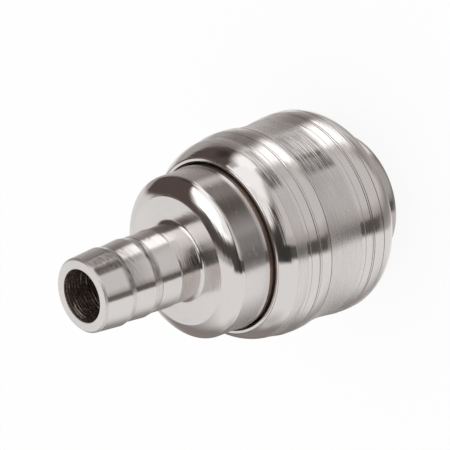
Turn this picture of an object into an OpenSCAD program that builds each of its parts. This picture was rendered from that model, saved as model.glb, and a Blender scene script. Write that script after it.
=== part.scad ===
// Air hose quick coupler: ball-lock socket with a valve and a barbed hose tail.
// It stands on its mouth at z = 0, on the Z axis, with the hose tail pointing up.

/* [Hose tail] */
// Bore through the tail
tail_bore_d = 6.3; // [5:0.1:6.8]
// Length of the tail from its end face to the flange
tail_len = 14.2; // [12:0.1:18]
// Diameter of the tail's end face
tail_tip_d = 8.4; // [8:0.1:8.8]
// Height of the chamfer round the end face
tail_chamfer = 0.25; // [0.1:0.05:0.4]
// Diameter behind that chamfer
tail_edge_d = 8.85; // [8.8:0.05:9]
// Diameter over the barb ridges
barb_d = 9.4; // [9.2:0.1:10.2]
// Diameter at the foot of each barb
barb_foot_d = 9; // [8.9:0.05:9.1]
// Distance from the end face to the first ridge
barb_first = 3.6; // [3:0.1:4]
// Distance from one ridge to the next
barb_pitch = 3.9; // [3.4:0.1:4.2]
// Number of barbs
barb_count = 2; // [1:1:3]
// Length of the slope behind each ridge
barb_back = 0.75; // [0.4:0.05:1]
// Diameter of the plain neck behind the barbs
neck_d = 9.3; // [9.2:0.1:9.8]
// Fillet between the neck and the flange
neck_fillet = 0.45; // [0.2:0.05:0.8]

/* [Flange] */
// Diameter of the flange
flange_d = 19.7; // [19.4:0.1:19.8]
// Diameter of the flat face round the tail
flange_face_d = 15.5; // [14:0.1:16.5]
// Length of the rounded bevel outside that face
bevel_len = 1.5; // [1:0.1:2]
// Height of the bevel's bow over a straight cone
bevel_rise = 0.2; // [0.1:0.05:0.3]
// Length of the full-size rim, bevel to relief
rim_len = 3.3; // [3:0.1:3.8]
// Diameter of the relief that stays under the sleeve
relief_d = 19.2; // [19:0.1:19.4]
// Thickness of the web between the flange face and the valve chamber
web_t = 2.7; // [2.4:0.1:3.4]
// Length of rim left in front of the bevel when the sleeve is drawn back
rim_left = 1.1; // [0.6:0.1:1.6]

/* [Body] */
// Outer diameter of the body, which the sleeve runs on
body_d = 16.8; // [16.6:0.1:16.9]
// Radius of the rounding round the nose
nose_round = 1.1; // [0.6:0.1:1.2]
// Diameter of the collar on the plug that the mouth takes
plug_collar_d = 12; // [11.9:0.1:12.1]
// Depth of that mouth
plug_bore_depth = 12; // [11.5:0.1:12.2]
// Length of the chamfer at the mouth
mouth_chamfer = 0.8; // [0.5:0.1:0.9]
// Diameter that takes the nose of the plug
nose_bore_d = 10.2; // [10:0.1:10.4]
// Distance from the mouth to the valve chamber
chamber_z = 13.8; // [13.6:0.1:14.4]
// Diameter of the valve chamber
chamber_d = 12.8; // [12.6:0.1:13]
// Wall of the body's threaded end, round the valve chamber
end_wall = 1.55; // [1.4:0.05:1.6]
// Length of the thread on that end
thread_len = 4.3; // [3.6:0.1:4.3]

/* [Balls] */
// Diameter of a ball
ball_d = 3.175; // [3:0.025:3.25]
// Wall between the ball holes and the retaining ring's groove
ball_wall = 0.55; // [0.5:0.05:0.7]
// Length of the relieved band that the ball holes open into
ball_band_len = 3.6; // [3.3:0.1:3.8]
// Depth of that band in the wall of the mouth
ball_band_depth = 0.2; // [0.16:0.02:0.26]
// Play between a locked ball and the sleeve
ball_play = 0.23; // [0.2:0.01:0.26]
// Play between a freed ball and the sleeve
free_play = 0.2; // [0.15:0.01:0.25]

/* [Locking sleeve] */
// Diameter over the two crests of the sleeve
sleeve_d = 25; // [24.8:0.1:25.6]
// Distance from the mouth to the sleeve
sleeve_z = 3.8; // [3.5:0.1:3.9]
// Travel of the sleeve towards the hose tail
sleeve_travel = 3.5; // [3.4:0.1:4]
// Diameter over the flat rim of that opening
lip_rim_d = 21.5; // [21.2:0.1:21.8]
// Length of the domed shoulder
shoulder_len = 3.5; // [3.2:0.1:3.8]
// Diameter where the shoulder ends
shoulder_d = 24.3; // [24.1:0.1:24.5]
// Height of the shoulder's bow over a straight cone
shoulder_rise = 0.34; // [0.2:0.02:0.4]
// Length of the tapered land next to the shoulder
rear_taper_len = 1.35; // [1:0.05:1.6]
// Length of the rear crest
rear_crest_len = 2.05; // [1.8:0.05:2.3]
// Length of the finger groove between the crests
waist_len = 5.1; // [4.8:0.1:5.4]
// Diameter where the front taper starts
waist_end_d = 24.5; // [24.4:0.1:24.7]
// Depth of the finger groove's bow under a straight line
waist_sink = 0.22; // [0.1:0.02:0.3]
// Length of the tapered land before the front crest
front_taper_len = 1.6; // [1.4:0.1:1.8]
// Length of the front crest
front_crest_len = 1.85; // [1.6:0.05:2.1]
// Length of the domed front end
dome_len = 2.75; // [2.5:0.05:3]
// Diameter of the front face
front_face_d = 21.7; // [21.2:0.1:22]
// Height of the front end's bow
dome_rise = 0.36; // [0.2:0.02:0.4]
// Height of each crest's own bow
crest_rise = 0.05; // [0.02:0.01:0.08]
// Depth of the fine turned lines on the crests
line_depth = 0.06; // [0.02:0.02:0.1]
// Length of the locking land in front of the ball centres
land_cover = 0.48; // [0.4:0.02:0.52]
// Diameter where the ramp that frees the balls ends
ramp_d = 18; // [17.9:0.1:18.1]
// Distance from the front face to the spring chamber
spring_chamber_z = 8.2; // [8:0.1:8.4]

/* [Retaining ring] */
// Distance from the mouth to the ring's groove
ring_z = 4.9; // [4.8:0.05:4.9]
// Thickness of the ring
ring_t = 0.98; // [0.9:0.02:0.98]
// Outer diameter of the ring
ring_d = 18.5; // [18.4:0.1:18.6]
// Diameter at the bottom of its groove
ring_groove_d = 15.3; // [15.2:0.1:15.6]
// Width of the gap in the ring
ring_gap = 3; // [2:0.5:5]

/* [Springs] */
// Wire of the sleeve's spring
sleeve_wire_d = 0.9; // [0.8:0.05:0.9]
// Turns of the sleeve's spring
sleeve_turns = 4.25; // [4:0.25:4.5]
// Wire of the valve's spring
valve_wire_d = 0.7; // [0.6:0.05:0.75]
// Mean diameter of the valve's spring
valve_coil_d = 8.6; // [8.5:0.1:8.8]
// Turns of the valve's spring
valve_turns = 4.25; // [4:0.25:5.5]
// Turns that lie closed at each end of a spring
closed_turns = 0.75; // [0.5:0.25:0.75]
// Thickness of the thrust washer under the sleeve's spring
washer_t = 0.7; // [0.5:0.1:0.8]

/* [Valve] */
// Thickness of the seal round the plug's nose
seal_t = 1.8; // [1.6:0.1:1.9]
// Width of that seal, from its lip to the chamber's wall
seal_w = 1.53; // [1.4:0.01:1.6]
// Thickness of the ring that holds the seal and carries the valve seat
seat_t = 1.6; // [1.4:0.1:1.7]
// Height of the narrow seat on that ring
seat_lip = 0.3; // [0.2:0.05:0.4]
// Bore of that ring, which guides the valve
seat_bore_d = 8.4; // [8.2:0.1:8.6]
// Diameter of the valve's head
head_d = 11.2; // [11:0.1:11.4]
// Thickness of the valve's head
head_t = 1.3; // [1.1:0.1:1.4]
// Thickness of the rubber washer under the head
valve_seal_t = 1; // [0.8:0.1:1.1]
// Bore of the valve's hollow pilot
pilot_bore_d = 6; // [5.6:0.1:6.4]
// Length of the pilot that reaches past the seat ring's bore
pilot_reach = 2.2; // [2:0.1:2.4]
// Lift of the valve when a plug is pushed in
valve_travel = 2; // [1.6:0.1:2.1]
// Width of the air windows in the pilot
window_w = 2.6; // [2:0.1:3]
// Height of the boss that centres the valve's spring
boss_h = 0.7; // [0.5:0.1:1]
// Depth of the pocket that seats the valve's spring
pocket_depth = 0.7; // [0.5:0.1:0.9]
// Thickness of the gasket between body and tail
gasket_t = 0.8; // [0.6:0.1:1]

/* [Fits] */
// Radial running clearance of sleeve, washer and valve
run_gap = 0.08; // [0.05:0.01:0.1]
// Radial clearance of the plug's collar in the mouth
plug_gap = 0.1; // [0.05:0.01:0.15]
// Radial clearance of the sleeve's lip round the flange
lip_gap = 0.25; // [0.2:0.05:0.4]
// Clearance between faces that seat on each other
seat_gap = 0.02; // [0.01:0.01:0.03]
// Radial clearance of a ball in its hole
ball_gap = 0.06; // [0.04:0.01:0.08]
// Radial clearance of the plain thread
thread_gap = 0.05; // [0.02:0.01:0.08]
// Gap that the tightened thread leaves at the body's shoulder
thread_stop = 0.3; // [0.2:0.1:0.6]

/* [Hidden] */
$fn = 96;

ball_count = 8;
overlap = 1;

// Radii of the running fits
land_r = body_d / 2 + run_gap;
pilot_r = seat_bore_d / 2 - run_gap;
mouth_r = plug_collar_d / 2 + plug_gap;
lip_bore_r = flange_d / 2 + lip_gap;
sleeve_coil_d = body_d / 2 + lip_bore_r;

// Radii of the threaded end and of the rings in the chamber
thread_r = chamber_d / 2 + end_wall;
ring_seat_r = chamber_d / 2 - seat_gap;

// Ball centres when locked, and how far out they move to free the collar
ball_r = ball_d / 2;
ball_lock_r = land_r - ball_play - ball_r;
ball_free_r = plug_collar_d / 2 + ball_gap / 2 + ball_r;
ball_band_r = mouth_r + ball_band_depth;
recess_r = ball_free_r + ball_r + free_play;

// Heights of the faces, from the mouth up
groove_top_z = ring_z + ring_t + seat_gap;
shoulder_z = groove_top_z + seat_gap;
ball_z = groove_top_z + ball_wall + ball_r + ball_gap;
land_z = ball_z - land_cover;
chamber_floor_z = sleeve_z + spring_chamber_z;
washer_top_z = chamber_floor_z + seat_gap + washer_t;
sleeve_end_z = sleeve_z + shoulder_len + rear_taper_len + rear_crest_len + waist_len
    + front_taper_len + front_crest_len + dome_len;
flange_z = sleeve_end_z + sleeve_travel + rim_left + bevel_len;
tail_end_z = flange_z + tail_len;
cup_floor_z = flange_z - web_t;
pocket_z = cup_floor_z + pocket_depth;
body_len = cup_floor_z - gasket_t;
thread_z = body_len - thread_len;
cup_rim_z = thread_z + thread_stop;
seal_z = chamber_z + seat_gap;
seat_z = seal_z + seal_t + seat_gap;
seat_lip_z = seat_z + seat_t + seat_lip;
valve_seal_z = seat_lip_z + seat_gap;
head_z = valve_seal_z + valve_seal_t + seat_gap;
head_top_z = head_z + head_t;

// Windows that clear the seat when the valve is lifted
window_margin = 0.2;
window_h = valve_travel - window_margin;

// Centring boss and pocket of the valve's spring
coil_clear = 0.25;
boss_r = (valve_coil_d - valve_wire_d) / 2 - coil_clear;
pocket_r = (valve_coil_d + valve_wire_d) / 2 + coil_clear;

// Sides of the spring wire and steps in one turn
wire_sides = 10;
turn_steps = 20;
// Steps in one bowed stretch of an outline
bow_steps = 10;

// Points of a circular arc from p to q that bows to the right of its chord by rise.
function bow(p, q, rise) =
    let (
        chord = norm(q - p),
        radius = (chord * chord / 4 + rise * rise) / (2 * rise),
        along = (q - p) / chord,
        side = [along[1], -along[0]],
        centre = (p + q) / 2 + side * (rise - radius),
        half = asin(chord / 2 / radius)
    )
    [for (i = [0 : bow_steps])
        let (a = -half + 2 * half * i / bow_steps)
        centre + radius * (side * cos(a) + along * sin(a))];

// Rise of an arc that turns through a quarter circle of radius r
function quarter_rise(r) = r * (1 - sqrt(0.5));

// Height of the wire's centre after u turns of a spring with closed ends
function coil_z(u, turns, wire_d, length) =
    let (
        open_turns = turns - 2 * closed_turns,
        shut = closed_turns * wire_d * 1.02,
        open = length - wire_d - 2 * shut
    )
    u < closed_turns ? u / closed_turns * shut
    : u > turns - closed_turns ? shut + open + (u - turns + closed_turns) / closed_turns * shut
    : shut + (u - closed_turns) / open_turns * open;

module nickel() {
    color([0.78, 0.77, 0.75]) children();
}

module rubber() {
    color([0.12, 0.12, 0.13]) children();
}

module spring_steel() {
    color([0.62, 0.63, 0.65]) children();
}

// A compression spring whose wire lies between z = 0 and z = length.
module coil_spring(coil_d, wire_d, turns, length) {
    steps = ceil(turns * turn_steps);
    points = [for (i = [0 : steps])
        let (
            u = turns * i / steps,
            centre_z = wire_d / 2 + coil_z(u, turns, wire_d, length)
        )
        for (j = [0 : wire_sides - 1])
            let (
                side = 360 * (j + 0.5) / wire_sides,
                r = coil_d / 2 + wire_d / 2 * cos(side)
            )
            [r * cos(360 * u), r * sin(360 * u), centre_z + wire_d / 2 * sin(side)]];
    walls = [for (i = [0 : steps - 1])
        for (j = [0 : wire_sides - 1])
            let (
                a = i * wire_sides + j,
                b = i * wire_sides + (j + 1) % wire_sides
            )
            [a, b, b + wire_sides, a + wire_sides]];
    start_cap = [[for (j = [wire_sides - 1 : -1 : 0]) j]];
    end_cap = [[for (j = [0 : wire_sides - 1]) steps * wire_sides + j]];
    polyhedron(points = points, faces = concat(walls, start_cap, end_cap), convexity = 10);
}

// Barbs, neck, flange and threaded cup, turned from one bar.
module hose_tail() {
    flange_r = flange_d / 2;
    tip_r = tail_tip_d / 2;
    bore_r = tail_bore_d / 2;
    bore_lead = 0.5;
    barbs = [for (i = [0 : barb_count - 1])
        let (ridge_z = tail_end_z - barb_first - i * barb_pitch)
        each [
            [barb_d / 2, ridge_z],
            [i < barb_count - 1 ? barb_foot_d / 2 : neck_d / 2, ridge_z - barb_back]
        ]];
    outside = concat(
        [[tip_r, tail_end_z], [tail_edge_d / 2, tail_end_z - tail_chamfer]],
        barbs,
        bow([neck_d / 2, flange_z + neck_fillet], [neck_d / 2 + neck_fillet, flange_z],
            quarter_rise(neck_fillet)),
        bow([flange_face_d / 2, flange_z], [flange_r, flange_z - bevel_len], -bevel_rise),
        [
            [flange_r, flange_z - bevel_len - rim_len],
            [relief_d / 2, flange_z - bevel_len - rim_len - (flange_d - relief_d) / 2],
            [relief_d / 2, cup_rim_z]
        ]
    );
    inside = [
        [thread_r + thread_gap, cup_rim_z],
        [thread_r + thread_gap, cup_floor_z],
        [pocket_r, cup_floor_z],
        [pocket_r, pocket_z],
        [bore_r + bore_lead, pocket_z],
        [bore_r, pocket_z + bore_lead],
        [bore_r, tail_end_z]
    ];
    nickel() rotate_extrude() polygon(concat(outside, inside));
}

// Tapered hole that keeps one ball from falling into the mouth.
module ball_hole() {
    hole_r = ball_r + ball_gap;
    rim_r = sqrt(pow(ball_r, 2) - pow(ball_lock_r - ball_band_r, 2)) + ball_gap / 2;
    taper_ratio = 0.3;
    taper_len = (hole_r - rim_r) / taper_ratio;
    rotate([0, 90, 0]) {
        translate([0, 0, ball_band_r + taper_len])
            cylinder(h = body_d, r = hole_r);
        translate([0, 0, ball_band_r - overlap])
            cylinder(h = taper_len + overlap, r1 = rim_r - overlap * taper_ratio, r2 = hole_r);
    }
}

// Body with the plug's mouth, the ball holes and the valve chamber.
module coupler_body() {
    r = body_d / 2;
    step = mouth_r - nose_bore_d / 2;
    outline = concat(
        [[mouth_r, mouth_chamfer], [mouth_r + mouth_chamfer, 0]],
        bow([r - nose_round, 0], [r, nose_round], quarter_rise(nose_round)),
        [
            [r, ring_z],
            [ring_groove_d / 2, ring_z],
            [ring_groove_d / 2, groove_top_z],
            [r, groove_top_z],
            [r, thread_z],
            [thread_r, thread_z],
            [thread_r, body_len],
            [chamber_d / 2, body_len],
            [chamber_d / 2, chamber_z],
            [nose_bore_d / 2, chamber_z],
            [nose_bore_d / 2, plug_bore_depth + step],
            [mouth_r, plug_bore_depth],
            [ball_band_r, ball_z + ball_band_len / 2],
            [ball_band_r, ball_z - ball_band_len / 2],
            [mouth_r, ball_z - ball_band_len / 2]
        ]
    );
    nickel() difference() {
        rotate_extrude() polygon(outline);
        for (i = [0 : ball_count - 1])
            rotate([0, 0, i * 360 / ball_count])
                translate([0, 0, ball_z])
                    ball_hole();
    }
}

// Sleeve with two crests, a finger groove and the cam that frees the balls.
module locking_sleeve() {
    crest_r = sleeve_d / 2;
    crest_edge_r = crest_r - crest_rise;
    rear_crest_z = sleeve_end_z - shoulder_len - rear_taper_len;
    waist_z = rear_crest_z - rear_crest_len;
    front_taper_z = waist_z - waist_len;
    front_crest_z = front_taper_z - front_taper_len;
    dome_z = front_crest_z - front_crest_len;
    outside = concat(
        [[lip_bore_r, sleeve_end_z]],
        bow([lip_rim_d / 2, sleeve_end_z], [shoulder_d / 2, sleeve_end_z - shoulder_len],
            -shoulder_rise),
        [
            [crest_edge_r, rear_crest_z + line_depth],
            [crest_edge_r - line_depth, rear_crest_z]
        ],
        bow([crest_edge_r, rear_crest_z - line_depth], [crest_edge_r, waist_z], -crest_rise),
        bow([crest_edge_r, waist_z], [waist_end_d / 2, front_taper_z], waist_sink),
        [
            [crest_edge_r, front_crest_z + line_depth],
            [crest_edge_r - line_depth, front_crest_z]
        ],
        bow([crest_edge_r, front_crest_z - line_depth], [crest_edge_r, dome_z], -crest_rise),
        bow([crest_edge_r, dome_z], [front_face_d / 2, sleeve_z], -dome_rise)
    );
    inside = [
        [recess_r, sleeve_z],
        [recess_r, shoulder_z],
        [ramp_d / 2, shoulder_z],
        [land_r, land_z],
        [land_r, chamber_floor_z],
        [lip_bore_r, chamber_floor_z]
    ];
    nickel() rotate_extrude() polygon(concat(outside, inside));
}

module sleeve_spring() {
    spring_steel()
        translate([0, 0, washer_top_z + seat_gap])
            coil_spring(sleeve_coil_d, sleeve_wire_d, sleeve_turns,
                cup_rim_z - washer_top_z - 2 * seat_gap);
}

module valve_spring() {
    spring_steel()
        translate([0, 0, head_top_z + seat_gap])
            coil_spring(valve_coil_d, valve_wire_d, valve_turns,
                pocket_z - head_top_z - 2 * seat_gap);
}

// A plain ring with a square section between two radii.
module flat_ring(outer_r, inner_r, thickness) {
    difference() {
        cylinder(h = thickness, r = outer_r);
        translate([0, 0, -overlap])
            cylinder(h = thickness + 2 * overlap, r = inner_r);
    }
}

module thrust_washer() {
    spring_steel()
        translate([0, 0, chamber_floor_z + seat_gap])
            flat_ring(lip_bore_r - 2 * run_gap, land_r, washer_t);
}

// Split ring that stops the sleeve at the front of the body.
module retaining_ring() {
    spring_steel()
        translate([0, 0, ring_z + seat_gap / 2])
            difference() {
                flat_ring(ring_d / 2, ring_groove_d / 2 + run_gap, ring_t);
                translate([0, -ring_gap / 2, -overlap])
                    cube([ring_d, ring_gap, ring_t + 2 * overlap]);
            }
}

module locking_ball(i) {
    spring_steel()
        rotate([0, 0, i * 360 / ball_count])
            translate([ball_lock_r, 0, ball_z])
                sphere(r = ball_r);
}

// Moulded seal with a rounded lip that closes round the plug's nose.
module plug_seal() {
    lip_r = 0.55;
    lip_centre_r = ring_seat_r - seal_w + lip_r;
    rubber()
        translate([0, 0, seal_z])
            rotate_extrude() {
                translate([lip_centre_r, seal_t / 2])
                    circle(r = lip_r, $fn = 48);
                translate([lip_centre_r, 0])
                    square([ring_seat_r - lip_centre_r, seal_t]);
            }
}

// Ring that holds the plug's seal and carries the valve's narrow seat.
module seat_ring() {
    bore_r = seat_bore_d / 2;
    lip_w = 0.5;
    lip_inset = 0.3;
    lip_in_r = bore_r + lip_inset;
    nickel()
        translate([0, 0, seat_z])
            rotate_extrude()
                polygon([
                    [bore_r, 0],
                    [ring_seat_r, 0],
                    [ring_seat_r, seat_t],
                    [lip_in_r + lip_w + seat_lip, seat_t],
                    [lip_in_r + lip_w, seat_t + seat_lip],
                    [lip_in_r, seat_t + seat_lip],
                    [bore_r, seat_t]
                ]);
}

// Valve with a hollow pilot, whose windows pass the air once it is lifted.
module valve_poppet() {
    pilot_z = seat_z - pilot_reach;
    pilot_bore_r = pilot_bore_d / 2;
    floor_z = head_z - seat_gap;
    outline = [
        [0, floor_z],
        [pilot_bore_r, floor_z],
        [pilot_bore_r, pilot_z],
        [pilot_r, pilot_z],
        [pilot_r, head_z],
        [head_d / 2, head_z],
        [head_d / 2, head_top_z],
        [boss_r, head_top_z],
        [boss_r - boss_h / 2, head_top_z + boss_h],
        [0, head_top_z + boss_h]
    ];
    nickel() difference() {
        rotate_extrude() polygon(outline);
        for (a = [0, 90])
            rotate([0, 0, a])
                translate([-head_d / 2, -window_w / 2, valve_seal_z - window_h])
                    cube([head_d, window_w, window_h]);
    }
}

module valve_seal() {
    rubber()
        translate([0, 0, valve_seal_z])
            flat_ring(head_d / 2, pilot_r + seat_gap, valve_seal_t);
}

module body_gasket() {
    rubber()
        translate([0, 0, body_len + seat_gap])
            flat_ring(thread_r - seat_gap, chamber_d / 2 + seat_gap, gasket_t - 2 * seat_gap);
}

hose_tail();
coupler_body();
locking_sleeve();
sleeve_spring();
thrust_washer();
retaining_ring();
locking_ball(0);  // locking_ball_1
locking_ball(1);  // locking_ball_2
locking_ball(2);  // locking_ball_3
locking_ball(3);  // locking_ball_4
locking_ball(4);  // locking_ball_5
locking_ball(5);  // locking_ball_6
locking_ball(6);  // locking_ball_7
locking_ball(7);  // locking_ball_8
plug_seal();
seat_ring();
valve_poppet();
valve_seal();
valve_spring();
body_gasket();
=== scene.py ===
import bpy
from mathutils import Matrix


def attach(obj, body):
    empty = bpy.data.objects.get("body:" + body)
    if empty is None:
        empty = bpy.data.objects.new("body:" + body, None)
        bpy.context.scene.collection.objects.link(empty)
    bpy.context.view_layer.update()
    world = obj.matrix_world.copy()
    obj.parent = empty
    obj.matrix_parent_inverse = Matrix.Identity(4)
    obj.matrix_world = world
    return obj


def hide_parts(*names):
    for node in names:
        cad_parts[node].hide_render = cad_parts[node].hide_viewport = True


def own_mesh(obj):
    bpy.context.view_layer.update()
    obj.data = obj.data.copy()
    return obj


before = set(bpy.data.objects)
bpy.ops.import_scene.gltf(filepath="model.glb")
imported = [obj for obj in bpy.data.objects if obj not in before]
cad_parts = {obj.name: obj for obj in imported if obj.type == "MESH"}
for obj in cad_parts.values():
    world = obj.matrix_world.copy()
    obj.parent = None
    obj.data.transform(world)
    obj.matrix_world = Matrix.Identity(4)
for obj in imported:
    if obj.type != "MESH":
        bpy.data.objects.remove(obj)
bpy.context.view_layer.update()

import math

import bpy
import numpy as np
from mathutils import Matrix, Vector

mm = 0.001
hair = 0.01  # mm, a small step in an outline
scene = bpy.context.scene
scene.view_settings.view_transform = "Standard"


# View: where the photographer stood, in the frame of the standing coupler
viewSettings = {
    "tilt": 52.05,  # degrees between the line of sight and straight down
    "roll": 20.20,  # degrees that the coupler's axis slopes in the picture
    "distance": 360.32,  # mm from the lens to the tail's end face, along the line of sight
    "tailPixel": (81.68, 296.23),  # where the middle of that face falls in the picture
    "picture": 450,  # pixels
    "lens": 256,
    "sensor": 36,
    "clip": (0.01, 20),
    "tailHeight": 42.3,
}


def viewAxes(tilt, roll):
    # forward leans from the axis by tilt; right and down are turned about it by roll
    t, a = math.radians(tilt), math.radians(roll)
    forward = np.array([0, math.sin(t), -math.cos(t)])
    alongAxis = np.array([0, -math.cos(t), -math.sin(t)])
    across = np.array([1, 0, 0])
    right = math.cos(a) * alongAxis - math.sin(a) * across
    down = -math.sin(a) * alongAxis - math.cos(a) * across
    return right, down, forward


def placeCamera(v):
    # the camera goes back from the tail's face by the distance, and aside by what the pixel is off centre
    right, down, forward = viewAxes(v["tilt"], v["roll"])
    focal = v["lens"] / v["sensor"] * v["picture"]
    aside = (np.array(v["tailPixel"]) - v["picture"] / 2) / focal * v["distance"]
    spot = np.array([0, 0, v["tailHeight"]]) - aside[0] * right - aside[1] * down - v["distance"] * forward
    camera = bpy.data.objects.new("camera", bpy.data.cameras.new("camera"))
    scene.collection.objects.link(camera)
    camera.data.lens, camera.data.sensor_width = v["lens"], v["sensor"]
    camera.data.clip_start, camera.data.clip_end = v["clip"]
    turn = Matrix([right, -down, -forward]).transposed().to_4x4()
    camera.matrix_world = Matrix.Translation(Vector(spot * mm)) @ turn
    scene.camera = camera


placeCamera(viewSettings)
print("camera placed")


# Nodes
def addNode(tree, kind, values=None, **settings):
    # settings belong to the node; a value is linked where it is a socket and set where it is a constant
    node = tree.nodes.new(kind)
    for name, value in settings.items():
        setattr(node, name, value)
    for socket, value in (values or {}).items():
        if isinstance(value, bpy.types.NodeSocket):
            tree.links.new(value, node.inputs[socket])
        else:
            node.inputs[socket].default_value = value
    return node


def calc(tree, operation, a, b=0.0, c=0.0, clamp=False):
    # one step of arithmetic, kept within 0 and 1 by clamp
    values = {0: a, 1: b, 2: c}
    return addNode(tree, "ShaderNodeMath", values, operation=operation, use_clamp=clamp).outputs[0]


def ramp(tree, value, low, high, toLow=0.0, toHigh=1.0):
    # a smooth step from toLow, where value is low, to toHigh, where it is high
    values = {"Value": value, "From Min": low, "From Max": high, "To Min": toLow, "To Max": toHigh}
    return addNode(tree, "ShaderNodeMapRange", values, interpolation_type="SMOOTHSTEP").outputs["Result"]


def blendColour(tree, share, a, b):
    # a where share is 0, b where it is 1
    solid = lambda colour: colour if isinstance(colour, bpy.types.NodeSocket) else (*colour, 1)
    values = {0: share, 6: solid(a), 7: solid(b)}
    return addNode(tree, "ShaderNodeMix", values, data_type="RGBA").outputs[2]


def noise(tree, vector, scale, detail, roughness=0.5, **more):
    # soft noise with detail finer layers; a W value carries it along a fourth dimension
    values = {"Vector": vector, "Scale": scale, "Detail": detail, "Roughness": roughness, **more}
    dimensions = "4D" if "W" in more else "3D"
    return addNode(tree, "ShaderNodeTexNoise", values, noise_dimensions=dimensions).outputs[0]


def objectPlace(tree):
    # the point in the piece's own coordinates
    return addNode(tree, "ShaderNodeTexCoord").outputs["Object"]


def fromAxis(tree, spot):
    # the point's offset from the Z axis, and the two parts of that offset's direction
    flat = addNode(tree, "ShaderNodeVectorMath", {0: spot, 1: (1, 1, 0)}, operation="MULTIPLY").outputs[0]
    around = addNode(tree, "ShaderNodeVectorMath", {0: flat}, operation="NORMALIZE").outputs[0]
    return flat, addNode(tree, "ShaderNodeSeparateXYZ", {0: around}).outputs


def swirled(tree, direction, swirl, height):
    # the direction times swirl, with height upwards: noise that is read there runs round the axis
    x, y = (calc(tree, "MULTIPLY", direction[k], swirl) for k in (0, 1))
    return addNode(tree, "ShaderNodeCombineXYZ", {0: x, 1: y, 2: height}).outputs[0]


def mixShader(tree, share, a, b):
    # shader a where share is 0, b where it is 1
    return addNode(tree, "ShaderNodeMixShader", {0: share, 1: a.outputs[0], 2: b.outputs[0]})


# Angles and points round the Z axis
def fullTurn(steps):
    # evenly spaced angles from 0 up to a full turn
    return np.arange(steps) * 2 * math.pi / steps


def aroundZ(radius, turn, height):
    # x is the radius times the cosine of turn, y the radius times its sine
    x, y = radius * np.cos(turn), radius * np.sin(turn)
    return np.stack([x, y, np.broadcast_to(height, x.shape)], -1)


# Studio: what the metal mirrors, seen from the coupler
studioSettings = {
    "pitch": 18,  # degrees that the photographer's camera looked down
    "table": (0.865, 0.85, 0.845),
    "wall": (0.44, 0.404, 0.385),
    "tableEdge": (-17, -12),  # heights in degrees between which the table ends
    # middle, half width, lowest, highest, softness sideways and upwards, degrees aside per degree up, colour
    "patches": [
        ("leftGrey", -16, 24, 25, 62, 7, 8, 0, (0.27, 0.243, 0.232)),
        ("rightGrey", 108, 48, 8, 66, 7, 7, 0, (0.67, 0.648, 0.64)),
        ("ceilingDim", 120, 62, 66, 100, 8, 8, 0, (0.62, 0.60, 0.59)),
        ("frontGlow", 22, 12, 18, 44, 6, 6, 0, (0.66, 0.645, 0.64)),
        ("frontDim", 53, 13, 20, 46, 6, 5, 0, (0.34, 0.315, 0.305)),
        ("ceiling", -60, 128, 66, 100, 6, 6, 0, (1.22, 1.21, 1.20)),
        ("frontBox", 28.5, 27.5, 43, 76, 4, 4, 0, (1.5, 1.49, 1.48)),
        ("leftWhite", -168, 20, 38, 100, 12, 12, 0, (1.10, 1.09, 1.08)),
        ("ceilingLow", -138, 40, 50, 80, 5, 5, 0, (1.12, 1.11, 1.10)),
        ("standLeft", -170, 12, -12, 11, 6, 3, 0, (0.12, 0.112, 0.11)),
        ("softBox", -130, 25, 12, 50, 4, 4, 0.75, (1.60, 1.59, 1.58)),
        ("boxFoot", -117, 25, 2, 20, 3, 2, 1.8, (0.10, 0.085, 0.08)),
        ("boxSide", -166, 14, 16, 40, 4, 4, 0, (1.0, 0.99, 0.98)),
        ("brownWall", -65.5, 34.5, 1, 60, 3, 3, 0.55, (0.10, 0.075, 0.068)),
        ("frontWall", -36, 32, -18, 0, 3, 3, 0, (0.79, 0.775, 0.77)),
        ("edgeFaint", 62, 34, -10, 1, 4, 4, 0, (0.30, 0.288, 0.28)),
        ("edgeRight", 132, 44, -13, 0, 3, 2.5, 0, (0.105, 0.093, 0.087)),
        ("edgeLeft", -146, 36, -8.5, 6, 3, 2.5, 0, (0.08, 0.068, 0.064)),
        ("edgeLow", -178, 14, -19, 2, 4, 3, 0, (0.07, 0.065, 0.063)),
        ("edgeBent", 158, 12, -18, 0, 5, 2.5, 0, (0.05, 0.045, 0.043)),
        ("stand", 171, 11, -15, 17, 4, 6, 0, (0.045, 0.04, 0.038)),
        ("standTop", 169.5, 6, 8, 44, 4, 7, 0, (0.065, 0.057, 0.054)),
        ("darkCore", -50, 14, 46, 62, 8, 6, 0, (0.045, 0.038, 0.036)),
        ("tableShade", -20, 68, -84, -34, 35, 9, 0, (0.27, 0.245, 0.233)),
        ("under", 0, 200, -100, -78, 10, 10, 0, (0.57, 0.55, 0.54)),
        ("shadeNear", -2, 12, -46, -23, 6, 4, 0, (0.23, 0.205, 0.195)),
        ("behind", 4, 8, -12, 8, 4, 4, 0, (0.97, 0.96, 0.95)),
        ("streak", 16, 8, -29, -17, 5, 4, 0, (0.97, 0.96, 0.95)),
    ],
}


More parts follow.
